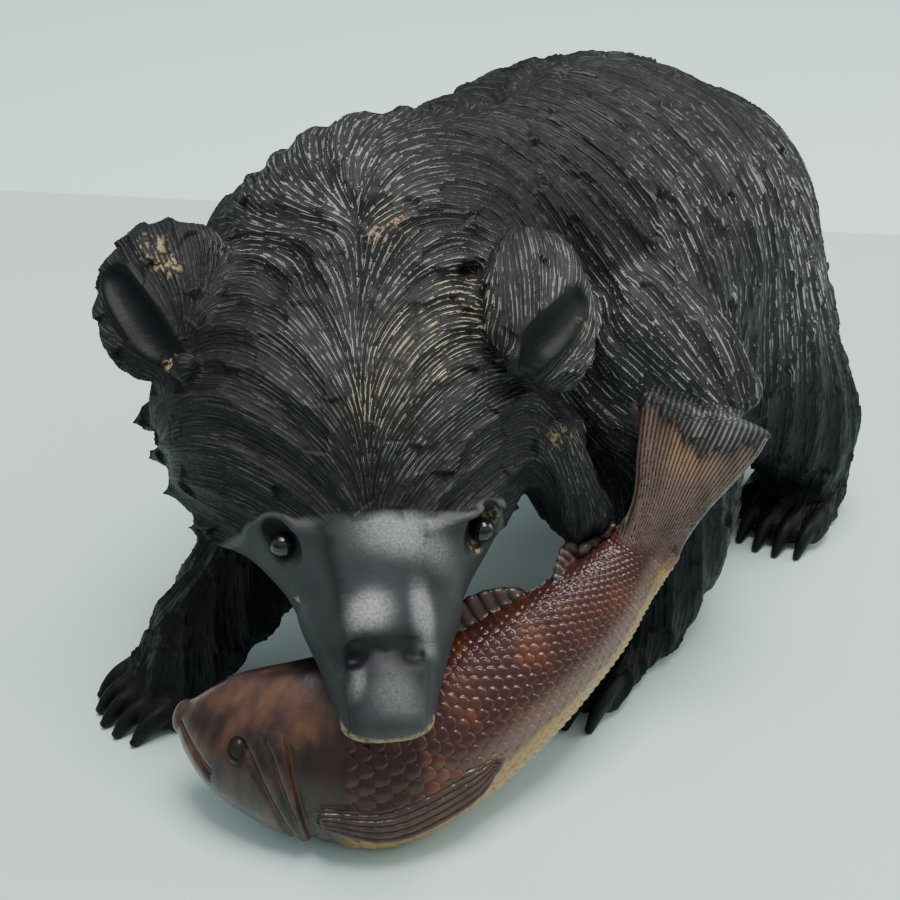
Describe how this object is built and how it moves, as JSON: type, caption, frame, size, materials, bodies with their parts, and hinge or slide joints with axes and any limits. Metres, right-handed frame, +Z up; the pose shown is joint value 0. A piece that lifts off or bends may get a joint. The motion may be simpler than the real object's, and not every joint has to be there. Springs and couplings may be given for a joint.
{
  "type": "carved bear figure",
  "caption": "Carved wooden bear walking on all fours, head turned to its left, with a salmon held across its mouth.",
  "frame": {"origin": "middle of the outline seen from above, on the plane the soles stand on", "axes": "+Z up; the bear's body faces -Y and its left side is +X"},
  "size_m": [0.1876, 0.3116, 0.1998],
  "materials": {
    "carved_wood": "near-black stain with a satin sheen on the fur, worn pale on the ridges; red-brown lacquer on the salmon",
    "eye_glass": "glossy black glass"
  },
  "bodies": {
    "root": {"bear_and_salmon": "carved_wood", "bear_eye_right": "eye_glass", "bear_eye_left": "eye_glass"}
  },
  "joints": []
}
